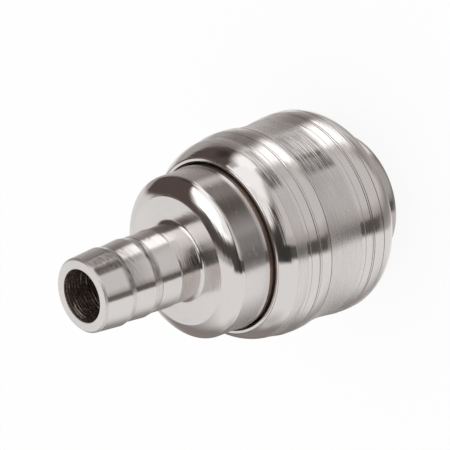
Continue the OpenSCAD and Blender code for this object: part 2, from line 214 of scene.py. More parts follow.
def makeWorld(s):
    # a mirrored ray takes the colour of the patches at its angle and height; each patch fades at its edges
    world = bpy.data.worlds.new("studio")
    scene.world = world
    world.use_nodes = True
    tree = world.node_tree
    tree.nodes.clear()
    direction = addNode(tree, "ShaderNodeTexCoord").outputs["Generated"]
    right, down, forward = viewAxes(viewSettings["tilt"], viewSettings["roll"])
    p = math.radians(s["pitch"])
    ahead = forward * math.cos(p) - down * math.sin(p)
    up = -down * math.cos(p) - forward * math.sin(p)
    parts = [addNode(tree, "ShaderNodeVectorMath", {0: direction, 1: tuple(axis)},
                     operation="DOT_PRODUCT").outputs["Value"] for axis in (right, ahead, up)]
    turned = calc(tree, "MULTIPLY", calc(tree, "ARCTAN2", parts[0], parts[1]), 180 / math.pi)
    height = calc(tree, "MULTIPLY", calc(tree, "ARCSINE", parts[2]), 180 / math.pi)
    colour = blendColour(tree, ramp(tree, height, *s["tableEdge"]), s["table"], s["wall"])
    for _, middle, half, lowest, highest, side, soft, lean, shade in s["patches"]:
        place = calc(tree, "SUBTRACT", turned, middle)
        if lean:
            climb = calc(tree, "SUBTRACT", height, (lowest + highest) / 2)
            place = calc(tree, "SUBTRACT", place, calc(tree, "MULTIPLY", climb, lean))
        away = calc(tree, "ABSOLUTE", calc(tree, "WRAP", place, 180.0, -180.0))
        inside = ramp(tree, away, half + side, half - side)
        above = ramp(tree, height, lowest - soft, lowest + soft)
        below = ramp(tree, height, highest + soft, highest - soft)
        share = calc(tree, "MULTIPLY", inside, calc(tree, "MULTIPLY", above, below))
        colour = blendColour(tree, share, colour, shade)
    ray = addNode(tree, "ShaderNodeLightPath")
    mirrored = addNode(tree, "ShaderNodeBackground", {"Color": colour, "Strength": 1.0})
    plain = addNode(tree, "ShaderNodeBackground", {"Color": (1, 1, 1, 1), "Strength": 1.0})
    either = mixShader(tree, ray.outputs["Is Glossy Ray"], plain, mirrored)
    addNode(tree, "ShaderNodeOutputWorld", {0: either.outputs[0]})


floorSettings = {"radius": 3.0, "steps": 64, "colour": (0.93, 0.93, 0.93, 1), "whiteShare": 0.9}


def makeFloor(s):
    # a disc that the camera sees as nearly white, so that the shadow shows; it is clear from below
    ring = aroundZ(s["radius"], fullTurn(s["steps"]), 0.0)
    mesh = bpy.data.meshes.new("floor")
    mesh.from_pydata(ring.tolist(), [], [list(range(s["steps"]))])
    floor = bpy.data.objects.new("floor", mesh)
    scene.collection.objects.link(floor)
    floor.visible_glossy = False  # the metal mirrors the studio's own table instead
    material = bpy.data.materials.new("paleFloor")
    material.use_nodes = True
    tree = material.node_tree
    tree.nodes.clear()
    ray = addNode(tree, "ShaderNodeLightPath")
    matt = addNode(tree, "ShaderNodeBsdfDiffuse", {"Color": s["colour"]})
    white = addNode(tree, "ShaderNodeEmission", {"Color": (1, 1, 1, 1), "Strength": 1.0})
    mixed = mixShader(tree, calc(tree, "MULTIPLY", ray.outputs["Is Camera Ray"], s["whiteShare"]), matt, white)
    clear = addNode(tree, "ShaderNodeBsdfTransparent")
    behind = addNode(tree, "ShaderNodeNewGeometry").outputs["Backfacing"]
    out = mixShader(tree, behind, mixed, clear)
    addNode(tree, "ShaderNodeOutputMaterial", {0: out.outputs[0]})
    mesh.materials.append(material)


makeWorld(studioSettings)
makeFloor(floorSettings)
print("studio made")


# Finishes
# How deep the turning marks are, how satin a stretch is, how brown its stain and painted shade are, how dark
# its painted shade and reflection: 0 to 1
turnedFinish = {
    "bright": (0.10, 0.05, 0.0, 0.0),
    "bevel": (0.10, 0.055, 0.0, 0.0),
    "land": (0.22, 0.07, 0.0, 0.0),
    "brushed": (0.45, 0.20, 0.04, 0.0),
    "smooth": (0.10, 0.20, 0.05, 0.0),
    "waist": (0.40, 0.24, 0.05, 0.0),
    "edge": (0.25, 0.42, 0.0, 0.0),
    "tip": (0.10, 0.15, 0.0, 0.0),
    "barb": (0.24, 0.12, 0.0, 0.0),
    "step": (0.30, 0.14, 0.0, 0.0),
    "neck": (0.30, 0.13, 0.05, 0.06),
    "rim": (0.03, 0.25, 0.03, 0.0),
    # groove and scribe: stain and painted shade darken the cut lines
    "groove": (0.10, 0.35, 0.45, 0.55),
    "scribe": (0.10, 0.30, 0.10, 0.25),
    "faced": (0.12, 0.14, 0.0, 0.0),
    "lip": (0.08, 0.12, 0.0, 0.0),
    "tan": (0.05, 0.16, 0.25, 0.0),
    # painted shade and brown reflection in the gap below the tail's rim
    "gapShade": (0.20, 0.30, 0.95, 0.25),
    # bore and inside: painted shade darkens the hollows
    "bore": (0.50, 0.24, 0.80, 0.55),
    "inside": (0.30, 0.26, 0.10, 0.05),
    # nose: painted shade where the nose lies under the sleeve
    "nose": (0.10, 0.16, 0.1, 0.35),
}
markSettings = {
    "fine": 11.0, "coarse": 6.0, "fineSwirl": 4.0, "coarseSwirl": 2.2, "fineShare": 0.3, "layers": 0.6,
}
traceSettings = {
    "size": 400.0, "layers": 0.6, "smudged": (0.42, 0.68), "scratched": (0.70, 0.74),
    "turns": ((0.4, 0.9, 0.3), (1.3, 0.2, 1.1)), "stretch": (260, 2600, 1900),
}


def startGroup(name, inputs, outputs):
    # a node group with number sockets only, and what is given to it
    group = bpy.data.node_groups.new(name, "ShaderNodeTree")
    for socket, value in inputs.items():
        made = group.interface.new_socket(socket, in_out="INPUT", socket_type="NodeSocketFloat")
        made.default_value = value
    for socket in outputs:
        group.interface.new_socket(socket, in_out="OUTPUT", socket_type="NodeSocketFloat")
    return group, addNode(group, "NodeGroupInput").outputs


def makeMarksGroup(s):
    # lines that run round the axis: noise whose scale along the outline is far finer than round it
    inputs = {"Along": 0.0, "Depth": 0.5, "Fine": s["fine"], "Coarse": s["coarse"]}
    group, given = startGroup("turningMarks", inputs, ("Height", "Mask"))
    _, direction = fromAxis(group, objectPlace(group))

    def lines(scale, swirl):
        # noise that scale makes finer along the outline and swirl makes finer round the axis
        place = swirled(group, direction, swirl, calc(group, "MULTIPLY", given["Along"], scale))
        return noise(group, place, 1.0, 1.0, s["layers"])

    fine = lines(given["Fine"], s["fineSwirl"])
    coarse = calc(group, "MULTIPLY", lines(given["Coarse"], s["coarseSwirl"]), 1 - s["fineShare"])
    both = calc(group, "ADD", calc(group, "MULTIPLY", fine, s["fineShare"]), coarse)
    addNode(group, "NodeGroupOutput", {0: calc(group, "MULTIPLY", both, given["Depth"]), 1: fine})
    return group


def makeTracesGroup(s):
    # smudges: soft noise; scratches: the thin crests of noise stretched in two directions
    inputs = {"Amount": 0.5, "Size": s["size"]}
    group, given = startGroup("handlingTraces", inputs, ("Smudge", "Scratch"))
    spot = objectPlace(group)
    smudge = ramp(group, noise(group, spot, given["Size"], 4.0, s["layers"]), *s["smudged"])
    crests = []
    for turn in s["turns"]:
        values = {0: spot, "Rotation": turn, "Scale": s["stretch"]}
        way = addNode(group, "ShaderNodeMapping", values).outputs[0]
        crests.append(ramp(group, noise(group, way, 1.0, 1.0), *s["scratched"]))
    parts = (smudge, calc(group, "MAXIMUM", *crests))
    addNode(group, "NodeGroupOutput", {k: calc(group, "MULTIPLY", parts[k], given["Amount"]) for k in (0, 1)})
    return group


turningMarks = makeMarksGroup(markSettings)
handlingTraces = makeTracesGroup(traceSettings)


def groupNode(tree, group, values):
    # one use of a group
    return addNode(tree, "ShaderNodeGroup", values, node_tree=group).outputs


def attribute(tree, name):
    # a value painted on the piece's points
    return addNode(tree, "ShaderNodeAttribute", attribute_name=name).outputs["Fac"]


def startMaterial(name, constants):
    # a material of one Principled shader
    material = bpy.data.materials.new(name)
    material.use_nodes = True
    tree = material.node_tree
    tree.nodes.clear()
    shader = addNode(tree, "ShaderNodeBsdfPrincipled", constants)
    addNode(tree, "ShaderNodeOutputMaterial", {0: shader.outputs[0]})
    return material, tree, shader


def addBump(tree, shader, strength, distance, height):
    # the surface seems to rise by height times distance
    values = {"Strength": strength, "Distance": distance * mm, "Height": height}
    tree.links.new(addNode(tree, "ShaderNodeBump", values).outputs[0], shader.inputs["Normal"])


metalShared = {
    "stainAndShadeMarks": (0.3, 0.7, 1.15, 0.8),  # how much the marks thin a stain, from and to
    "lineMarks": (0.62, 0.36),
    # how the turning marks streak the painted shade, from and to
    "paintedShadeMarks": (0.35, 0.65, -1.6, 1.6),
    "satinRange": (0.05, 0.3),
    "scratchShow": 0.35,
    "smudgeRough": 0.05,
    "lineRough": 0.1,
    "scratchRough": 0.12,
    "handling": 0.5,
}
nickelSettings = {
    **metalShared,
    "colour": (0.765, 0.742, 0.732),
    # the brown of stains, and of painted shade in cuts, gaps and hollows
    "stainColour": (0.31, 0.205, 0.155),
    # the colour of painted shade and dark reflection
    "filmColour": (0.13, 0.113, 0.105),
    "scratchColour": (0.86, 0.85, 0.83),
    "lineColour": (0.68, 0.655, 0.645),
    "markDepth": 0.15,
    "satinLoss": 0.16,
    "anisotropy": 0.9,
}
brassSettings = {
    **metalShared,
    "colour": (0.80, 0.62, 0.34),
    # the brown of stains, and of painted shade in cuts, gaps and hollows
    "stainColour": (0.42, 0.28, 0.12),
    # the colour of painted shade and dark reflection
    "filmColour": (0.30, 0.22, 0.10),
    "scratchColour": (0.88, 0.74, 0.46),
    "lineColour": (0.66, 0.48, 0.24),
    "markDepth": 0.10,
    "satinLoss": 0.1,
    "anisotropy": 0.4,
}


def makeTurnedMetal(name, s):
    # lines, a brown stain with painted shade, a dark layer of painted shade and reflection, and scratches lie
    # over the base colour;
    # the lines, smudges and scratches also add to the roughness, which is the satin
    constants = {"Anisotropic": s["anisotropy"], "Anisotropic Rotation": 0.25}
    material, tree, shader = startMaterial(name, constants)
    link = tree.links.new
    depth, satin = attribute(tree, "marks"), attribute(tree, "satin")
    marks = groupNode(tree, turningMarks, {"Along": attribute(tree, "along"), "Depth": depth})
    traces = groupNode(tree, handlingTraces, {"Amount": s["handling"]})
    # the marks thin the stain and painted shade, and streak the painted dark layer
    thinned = ramp(tree, marks["Mask"], *s["stainAndShadeMarks"])
    stain = calc(tree, "MULTIPLY", attribute(tree, "stain"), thinned, clamp=True)
    lined = calc(tree, "MULTIPLY", ramp(tree, marks["Mask"], *s["lineMarks"]), depth)
    streaks = calc(tree, "MULTIPLY", depth, ramp(tree, marks["Mask"], *s["paintedShadeMarks"]))
    film = calc(tree, "MULTIPLY", attribute(tree, "film"), calc(tree, "ADD", streaks, 1.0), clamp=True)
    worn = calc(tree, "MULTIPLY", traces["Scratch"], s["scratchShow"])
    colour = s["colour"]
    for share, over in ((lined, "line"), (stain, "stain"), (film, "film"), (worn, "scratch")):
        colour = blendColour(tree, share, colour, s[f"{over}Colour"])
    link(colour, shader.inputs["Base Color"])
    metallic = ramp(tree, satin, *s["satinRange"], 1.0, 1.0 - s["satinLoss"])
    link(metallic, shader.inputs["Metallic"])
    rough = calc(tree, "ADD", satin, calc(tree, "MULTIPLY", traces["Smudge"], s["smudgeRough"]))
    rough = calc(tree, "ADD", rough, calc(tree, "MULTIPLY", lined, s["lineRough"]))
    scratched = calc(tree, "MULTIPLY", traces["Scratch"], s["scratchRough"])
    link(calc(tree, "ADD", rough, scratched, clamp=True), shader.inputs["Roughness"])
    addBump(tree, shader, 1.0, s["markDepth"], marks["Height"])
    tangent = addNode(tree, "ShaderNodeTangent", direction_type="RADIAL", axis="Z")
    link(tangent.outputs[0], shader.inputs["Tangent"])
    return material


rubberSettings = {
    "colour": (0.018, 0.018, 0.019), "bloomColour": (0.035, 0.034, 0.034), "shine": 0.35, "grain": 6000.0,
    "bloom": 500.0, "bloomed": (0.4, 0.7), "roughness": (0.3, 0.7, 0.45, 0.62), "bump": 0.01,
}


def makeRubber(s):
    # a fine moulded grain, and bloom that makes soft patches paler and duller
    material, tree, shader = startMaterial("blackRubber", {"Specular IOR Level": s["shine"]})
    spot = objectPlace(tree)
    grain = noise(tree, spot, s["grain"], 3.0)
    bloom = noise(tree, spot, s["bloom"], 4.0)
    colour = blendColour(tree, ramp(tree, bloom, *s["bloomed"]), s["colour"], s["bloomColour"])
    tree.links.new(colour, shader.inputs["Base Color"])
    tree.links.new(ramp(tree, bloom, *s["roughness"]), shader.inputs["Roughness"])
    addBump(tree, shader, 0.6, s["bump"], grain)
    return material


steelShared = {"darkened": (0.35, 0.7), "roughened": (0.3, 0.7), "scratchSize": 900.0, "scratchRough": 0.2}
wireSettings = {
    **steelShared, "colour": (0.58, 0.57, 0.555), "darkColour": (0.49, 0.478, 0.462), "roughness": (0.22, 0.30),
    "streaks": 2500.0, "swirl": 5.0, "bump": 0.004, "handling": 0.6,
}
ballSettings = {
    **steelShared, "colour": (0.70, 0.695, 0.685), "darkColour": (0.62, 0.61, 0.60), "roughness": (0.05, 0.09),
    "streaks": 700.0, "swirl": 4.0, "bump": 0.001, "handling": 0.3,
}


def makePlainSteel(name, s):
    # drawn wire and rolled balls: soft streaks round the axis, which swirl makes shorter, and a few scratches
    material, tree, shader = startMaterial(name, {"Metallic": 1.0})
    spot = objectPlace(tree)
    flat, direction = fromAxis(tree, spot)
    radius = addNode(tree, "ShaderNodeVectorMath", {0: flat}, operation="LENGTH").outputs["Value"]
    height = addNode(tree, "ShaderNodeSeparateXYZ", {0: spot}).outputs[2]
    place = swirled(tree, direction, s["swirl"], calc(tree, "MULTIPLY", height, s["streaks"]))
    streak = noise(tree, place, 1.0, 3.0, W=calc(tree, "MULTIPLY", radius, s["streaks"]))
    traces = groupNode(tree, handlingTraces, {"Amount": s["handling"], "Size": s["scratchSize"]})
    colour = blendColour(tree, ramp(tree, streak, *s["darkened"]), s["colour"], s["darkColour"])
    tree.links.new(colour, shader.inputs["Base Color"])
    scratched = calc(tree, "MULTIPLY", traces["Scratch"], s["scratchRough"])
    rough = calc(tree, "ADD", ramp(tree, streak, *s["roughened"], *s["roughness"]), scratched, clamp=True)
    tree.links.new(rough, shader.inputs["Roughness"])
    addBump(tree, shader, 0.5, s["bump"], streak)
    return material


nickelPlate = makeTurnedMetal("nickelPlate", nickelSettings)
turnedBrass = makeTurnedMetal("turnedBrass", brassSettings)
blackRubber = makeRubber(rubberSettings)
springSteel = makePlainSteel("springSteel", wireSettings)
ballSteel = makePlainSteel("ballSteel", ballSettings)
print("materials made")


# Outlines, as rows of (radius, height) in mm
cornerShape = {
    "ease": 0.04,  # radius of a corner that has none of its own
    "sharp": 3.2,  # degrees of bend from which a point is a corner
    "steps": 3,
    "reach": 0.42,  # the share of an edge that one corner may take
    "guard": 0.3,
    "seam": (0.02, 0.3),  # how near before a point the finish changes, in mm and as a share of the edge
}


def bowedLine(start, end, rise, steps=12):
    # points of the arc from start to end that stands off its chord by rise, to the right of the way along
    start, end = np.array(start, float), np.array(end, float)
    chord = np.linalg.norm(end - start)
    along = (end - start) / chord
    side = np.array([along[1], -along[0]])
    radius = (chord ** 2 / 4 + rise ** 2) / (2 * rise)
    centre = (start + end) / 2 + side * (rise - radius)
    half = math.asin(chord / 2 / radius)
    angle = np.linspace(-half, half, steps + 1)[:, None]
    return centre + radius * (side * np.cos(angle) + along * np.sin(angle))


def quarterRise(radius):
    # how far a quarter of a circle stands off its chord
    return radius * (1 - math.sqrt(0.5))


def upright(radius, heights):
    # one radius at each height
    return np.stack([np.full_like(heights, radius), heights], 1)


def traceOutline(stretches, ease=cornerShape["ease"]):
    # stretches are (finish, points, and if need be their own ease in mm) in order round the section. Each
    # corner that turns by more than sharp degrees becomes an arc that touches both of its edges, with a
    # guard point beside each end of the arc
    c = cornerShape
    points, finish, eases = [], [], []
    for name, row, *own in stretches:
        for p in np.atleast_2d(np.array(row, float)):
            points.append(p)
            finish.append(name)
            eases.append(own[0] if own else ease)
    points = np.array(points)
    area = np.sum(points[:, 0] * np.roll(points[:, 1], -1) - np.roll(points[:, 0], -1) * points[:, 1])
    if area < 0:  # the material is kept on the left, so that the faces point out of it
        points = points[::-1]
        finish = finish[-2::-1] + finish[-1:]
        eases = eases[::-1]
    count = len(points)
    rows, tags = [], []
    for i in range(count):
        before, here, after = points[i - 1], points[i], points[(i + 1) % count]
        inLen, outLen = np.linalg.norm(here - before), np.linalg.norm(after - here)
        inWay, outWay = (here - before) / inLen, (after - here) / outLen
        bend = math.acos(max(-1.0, min(1.0, float(inWay @ outWay))))
        last, this = turnedFinish[finish[i - 1]], turnedFinish[finish[i]]
        if math.degrees(bend) < c["sharp"] or eases[i] <= 0:
            if last != this:
                rows.append(here - min(c["seam"][0], c["seam"][1] * inLen) * inWay)
                tags.append(last)
            rows.append(here)
            tags.append(this)
            continue
        reach = min(eases[i] * math.tan(bend / 2), c["reach"] * inLen, c["reach"] * outLen)
        share = np.linspace(0, 1, c["steps"] + 1)[:, None]
        a, b = here - reach * inWay, here + reach * outWay
        arc = (1 - share) ** 2 * a + 2 * share * (1 - share) * here + share ** 2 * b
        guard = c["guard"] * reach
        rows += [a - guard * inWay, *arc, b + guard * outWay]
        half = (c["steps"] + 1) // 2
        tags += [last] * (1 + half) + [this] * (c["steps"] + 2 - half)
    return np.array(rows), np.array(tags)


def withLength(outline, tags):
    # the length along the outline up to each point, before that point's finish
    steps = np.linalg.norm(np.diff(outline, axis=0), axis=1)
    return np.column_stack([np.concatenate([[0], np.cumsum(steps)]), tags])


def nearest(outline, radius, height):
    # the number of the outline's point that lies nearest to this one
    return int(np.argmin(np.hypot(outline[:, 0] - radius, outline[:, 1] - height)))


# Surfaces
def addMesh(name, verts, quads, tris=None):
    # verts in mm; all corners and polygons are written as whole arrays
    tris = np.zeros((0, 3), int) if tris is None else tris
    mesh = bpy.data.meshes.new(name)
    mesh.vertices.add(len(verts))
    mesh.vertices.foreach_set("co", (verts * mm).astype(np.float32).ravel())
    corners = np.concatenate([quads.ravel(), tris.ravel()]).astype(np.int32)
    starts = np.concatenate([np.arange(len(quads)) * 4, len(quads) * 4 + np.arange(len(tris)) * 3])
    mesh.loops.add(len(corners))
    mesh.loops.foreach_set("vertex_index", corners)
    mesh.polygons.add(len(starts))
    mesh.polygons.foreach_set("loop_start", starts.astype(np.int32))
    mesh.polygons.foreach_set("use_smooth", np.ones(len(starts), bool))
    mesh.update(calc_edges=True)
    mesh.validate()
    piece = bpy.data.objects.new(name, mesh)
    scene.collection.objects.link(piece)
    return piece


def paint(piece, tags):
    # one attribute for each column: the length along the outline, then the finish's four values
    for name, column in zip(("along", "marks", "satin", "stain", "film"), tags.T):
        layer = piece.data.attributes.new(name, "FLOAT", "POINT")
        layer.data.foreach_set("value", np.array(column, np.float32))


def dress(piece, material, body, node, slot):
    # the piece takes the place of the CAD node and moves with its body
    piece.data.materials.append(material)
    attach(piece, body)
    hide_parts(node)


def gridQuads(rows, columns, closed=False, flip=False):
    # quads of a grid whose last column meets the first and, if closed, whose last row meets the first too
    i, j = np.meshgrid(np.arange(rows if closed else rows - 1), np.arange(columns), indexing="ij")
    nextI, nextJ = (i + 1) % rows, (j + 1) % columns
    corners = [i * columns + j, i * columns + nextJ, nextI * columns + nextJ, nextI * columns + j]
    quads = np.stack(corners, -1).reshape(-1, 4)
    return quads[:, ::-1] if flip else quads


def weld(verts, quads):
    # points closer than a hundred-thousandth of a mm become one; a quad that loses a corner becomes a triangle
    whole = np.round(verts * 1e5).astype(np.int64)
    _, first, index = np.unique(whole, axis=0, return_index=True, return_inverse=True)
    faces = index.ravel()[quads]
    same = faces == np.roll(faces, -1, axis=1)
    lost = same.sum(1)
    once = faces[lost == 1]
    drop = np.argmax(same[lost == 1], axis=1)
    keep = (drop[:, None] + 1 + np.arange(3)) % 4
    return verts[first], faces[lost == 0], np.take_along_axis(once, keep, 1), first


def paintShade(radius, height, turn, shadePatches, softUp=0.1):
    # each patch of painted shade and dark reflection is soft: how far round, how high and how near its own
    # radius a point lies
    fade = lambda distance, half, soft: np.clip((half + soft - distance) / (2 * soft), 0, 1)
    total = np.zeros_like(radius)
    for _, middle, half, soft, low, high, least, amount in shadePatches:
        away = np.abs((np.degrees(turn) - middle + 180) % 360 - 180)
        upward = fade(np.abs(height - (low + high) / 2), (high - low) / 2, softUp)
        within = fade(away, half, soft) * upward * (radius > least)
        total += amount * within * within * (3 - 2 * within)
    return total


def spinOutline(name, stretches, segments=256, ripple=None, shadePatches=()):
    # each outline point goes round the Z axis at its own radius and height; ripple may push the rows in or out,
    # and patches add painted shade and dark reflection to the colour values
    outline, tags = traceOutline(stretches)
    turn = fullTurn(segments)
    radius = np.repeat(outline[:, :1], segments, axis=1)
    height = np.repeat(outline[:, 1:], segments, axis=1)
    if ripple is not None:
        radius = radius + ripple(radius, height, turn)
    verts = aroundZ(radius, turn, height).reshape(-1, 3)
    piece = addMesh(name, verts, gridQuads(len(outline), segments, closed=True))
    tags = np.repeat(withLength(outline, tags), segments, axis=0)
    # patches of painted shade and dark reflection add to the third and fourth colour values
    for kind, column in (("stain", 3), ("film", 4)):
        dark = paintShade(radius, height, turn, [shadePatch for shadePatch in shadePatches if shadePatch[0] == kind])
        tags[:, column] = np.clip(tags[:, column] + dark.ravel(), 0, 1)
    paint(piece, tags)
    return piece


# Hose tail
tailShape = {
    "top": 42.3, "bore": 3.15, "tip": 4.2, "tipEdge": 4.425, "tipChamfer": 0.25, "tipRows": 9,
    "ridge": (4.7, 38.7), "foot": (4.5, 37.95), "secondRidge": (4.73, 35.3), "secondFoot": (4.55, 34.1),
    "slopeShare": 0.93, "slopeRows": 6, "thirdRidge": (4.7, 31.35), "neck": 4.62, "neckZ": 31.1,
    "fillet": 0.45, "faceZ": 28.1, "face": 7.75, "flange": 9.85,
    "bevelEdge": (9.63, 26.87), "bevelRise": 0.15, "rimTop": (9.85, 26.29), "rimRise": 0.057,
    "rimEnd": 22.55, "rimRows": 12, "rimStop": 0.5, "tanTop": 0.42,
    "burr": 9.98, "burrTop": 0.08, "burrFoot": 0.04,
    "wall": 9.9, "wallEnd": 22.02, "relief": 9.6, "cup": 8.0, "cupRim": 20.6, "cupFloor": 25.4,
    "pocket": 4.9, "pocketFloor": 26.1, "lead": 0.5, "boreRow": 0.07, "boreTop": 0.2, "boreAboveCup": 9,
    # tool marks: size, times round the bore and radians per mm of each wave
    "toolPitch": 0.42, "toolSecond": 0.61, "toolDepth": 0.045, "toolMean": 0.5, "toolSink": 0.4,
    "toolDrift": ((0.35, 2, 1.9), (0.25, 5, -4.3)), "chatter": 0.35, "chatterWaves": ((19, 7), (8, -3.1)),
    "toolLow": 27, "toolTop": 0.15,
    # painted shade and dark reflection: kind, middle, half width and softness in degrees, lowest, highest,
    # least radius, amount
    "shadePatches": [
        ("film", -76, 31, 6, 22.98, 26.5, 9.7, 0.58),
        ("film", -58, 20, 10, 22.98, 26.4, 9.7, 0.42),
        ("film", -157, 18, 10, 22.8, 26.5, 9.7, 0.3),
        ("film", -98, 9, 4, 22.8, 26.3, 9.7, 0.18),
        ("stain", -26, 16, 10, 22.8, 26.4, 9.7, 0.15),
        ("film", -64, 7, 3, 38.72, 42.1, 4.3, 0.85),
        ("film", -48, 10, 8, 38.72, 42.1, 4.3, 0.95),
        ("film", -68, 40, 8, 37.9, 38.8, 4.3, 0.6),
        ("film", -72, 32, 6, 34.2, 35.2, 4.3, 0.6),
        ("film", -94, 16, 8, 28.5, 29.8, 4.3, 0.9),
        ("film", -98, 11, 6, 29.9, 31.0, 4.3, 0.5),
        ("film", -18, 18, 6, 28.6, 30.6, 4.3, 0.55),
        ("film", -55, 16, 6, 31.4, 38.0, 4.3, 0.12),
        ("film", -55, 16, 6, 31.4, 33.9, 4.3, 0.14),
        ("stain", -140, 40, 12, 28.6, 31.2, 4.3, 0.45),
    ],
}


def toolMarks(radius, height, turn):
    # the boring tool's helix: one wave for each pitch, its depth drifting round the bore
    s = tailShape
    inBore = (radius < s["bore"] + hair) & (height > s["toolLow"]) & (height < s["top"] - s["toolTop"])
    ripples = lambda times, rise: np.sin(times * turn + height * rise)
    drift = sum((size * ripples(times, rise) for size, times, rise in s["toolDrift"]), s["toolMean"])
    first, second = (ripples(*wave) for wave in s["chatterWaves"])
    coarse = np.sin(2 * math.pi * height / s["toolPitch"] + turn)
    fine = np.sin(2 * math.pi * height / (s["toolSecond"] * s["toolPitch"]) + 3 * turn)
    depth = drift * (coarse + 0.5 * fine) + s["chatter"] * first * second - s["toolSink"]
    return np.where(inBore, s["toolDepth"] * depth, 0)


def slope(start, end, rows, share=1):
    # evenly spaced points from start towards end, up to this share of the way
    part = np.linspace(0, share, rows)[:, None]
    return (1 - part) * start + part * end


def makeHoseTail(s):
    # the section runs from the bore's end out over the barbs, down the flange and back up inside the cup
    top, bore, neck, fillet, faceZ = (s[key] for key in ("top", "bore", "neck", "fillet", "faceZ"))
    rimEnd, relief, cup, cupRim = (s[key] for key in ("rimEnd", "relief", "cup", "cupRim"))
    ridge, ridgeZ = s["ridge"]
    footR, footZ = s["secondFoot"]
    tipLine = slope((s["tipEdge"], top - s["tipChamfer"]), np.array((ridge, ridgeZ + 0.05)), s["tipRows"])
    slopeLine = slope(s["secondRidge"], np.array(s["secondFoot"]), s["slopeRows"], s["slopeShare"])
    rimRows = np.linspace(s["rimTop"][1], rimEnd + s["rimStop"], s["rimRows"])
    boreRows = np.arange(top - s["boreTop"], s["cupFloor"] + s["boreAboveCup"], -s["boreRow"])
    stretches = [
        ("faced", (bore, top), 0.08),
        ("edge", (s["tip"], top), 0.05),
        ("tip", tipLine, 0.05),
        ("step", s["ridge"], 0.12),
        ("barb", s["foot"], 0.1),
        ("step", slopeLine, 0.12),
        ("groove", s["secondFoot"], 0.02),
        ("barb", (footR + 0.02, footZ - 0.05), 0.02),
        ("step", s["thirdRidge"], 0.12),
        ("neck", (neck, s["neckZ"]), 0.12),
        ("bright", bowedLine((neck, faceZ + fillet), (neck + fillet, faceZ), quarterRise(fillet), 30)),
        ("faced", (neck + fillet, faceZ), 0),
        ("bevel", bowedLine((s["face"], faceZ), s["bevelEdge"], -s["bevelRise"], 14)),
        ("bevel", bowedLine(s["bevelEdge"], s["rimTop"], -s["rimRise"], 14)[1:-1]),
        ("rim", upright(s["flange"], rimRows), 0.03),
        ("tan", [(s["flange"], rimEnd + s["tanTop"]), (s["burr"], rimEnd + s["burrTop"])], 0.02),
        # painted shade and brown reflection where the sleeve lip hides the wall below the rim
        ("gapShade", [(s["burr"] - hair, rimEnd + s["burrFoot"]), (s["wall"], s["wallEnd"])], 0.03),
        ("gapShade", (relief, s["wallEnd"] - (s["wall"] - relief)), 0.06),
        ("inside", (relief, cupRim + 0.4), 0),
        ("inside", [(relief, cupRim), (cup, cupRim), (cup, s["cupFloor"]), (s["pocket"], s["cupFloor"])]),
        ("inside", [(s["pocket"], s["pocketFloor"]), (bore + s["lead"], s["pocketFloor"])]),
        ("bore", (bore, s["pocketFloor"] + s["lead"])),
        ("bore", upright(bore, boreRows)[::-1], 0),
    ]
    piece = spinOutline("hoseTail", stretches, 256, ripple=toolMarks, shadePatches=s["shadePatches"])
    dress(piece, nickelPlate, "socket", "hose_tail", "plated_tail")


makeHoseTail(tailShape)
print("hose tail made")


# Locking sleeve
sleeveShape = {
    "end": 22.0, "front": 3.8, "lipBore": 10.1, "lipInner": 10.3, "lipEdge": 10.59, "lipRim": 10.75,
    "lipLead": 0.2, "lipStep": 0.07, "lipDrop": 0.14,
    "shoulderZ": 18.55, "shoulderR": 12.15, "shoulderRise": 0.34,
    "brushedZ": 20.05, "crest": 12.45, "crestRise": 0.04, "rearLine": 17.02, "waistZ": 15.1, "waistEnd": 12.25,
    "waistSink": 0.22, "landZ": 10.1, "frontLine": 8.47, "secondLine": 8.19, "domeZ": 6.63, "domeRise": 0.36,
    "frontFace": 10.85, "cuts": {"groove": (0.11, 0.07), "scribe": (0.13, 0.02)},  # width and depth
    "crestScribe": 16.72, "rearScribe": 18.1, "frontScribe": 9.5,
    "recess": 9.405, "recessTop": 5.92, "ramp": 9.0, "rampZ": 7.6175, "land": 8.48, "floor": 12.0,
    # painted shade and dark reflection on the sleeve, in the same columns as the hose tail's
    "shadePatches": [
        ("film", -87, 16, 8, 10.2, 15.0, 12.0, 0.16),
        ("film", -87, 16, 8, 18.6, 20.0, 11.0, 0.1),
        ("film", -64.5, 6, 2, 10.2, 15.0, 12.0, 0.52),
        ("film", -50, 10, 3, 10.2, 15.0, 12.0, 0.46),
        ("film", -65, 6, 3, 18.6, 20.3, 11.0, 0.62),
        ("film", -50, 9, 3, 18.6, 19.9, 11.0, 0.45),
    ],
}


def cutLine(finish, radius, z, cuts):
    # a V cut into a land, from its upper edge to its lower one
    wide, deep = cuts[finish]
    half = wide / 2
    return [(finish, [(radius, z + half), (radius - deep, z)], hair), ("land", (radius, z - half), hair)]


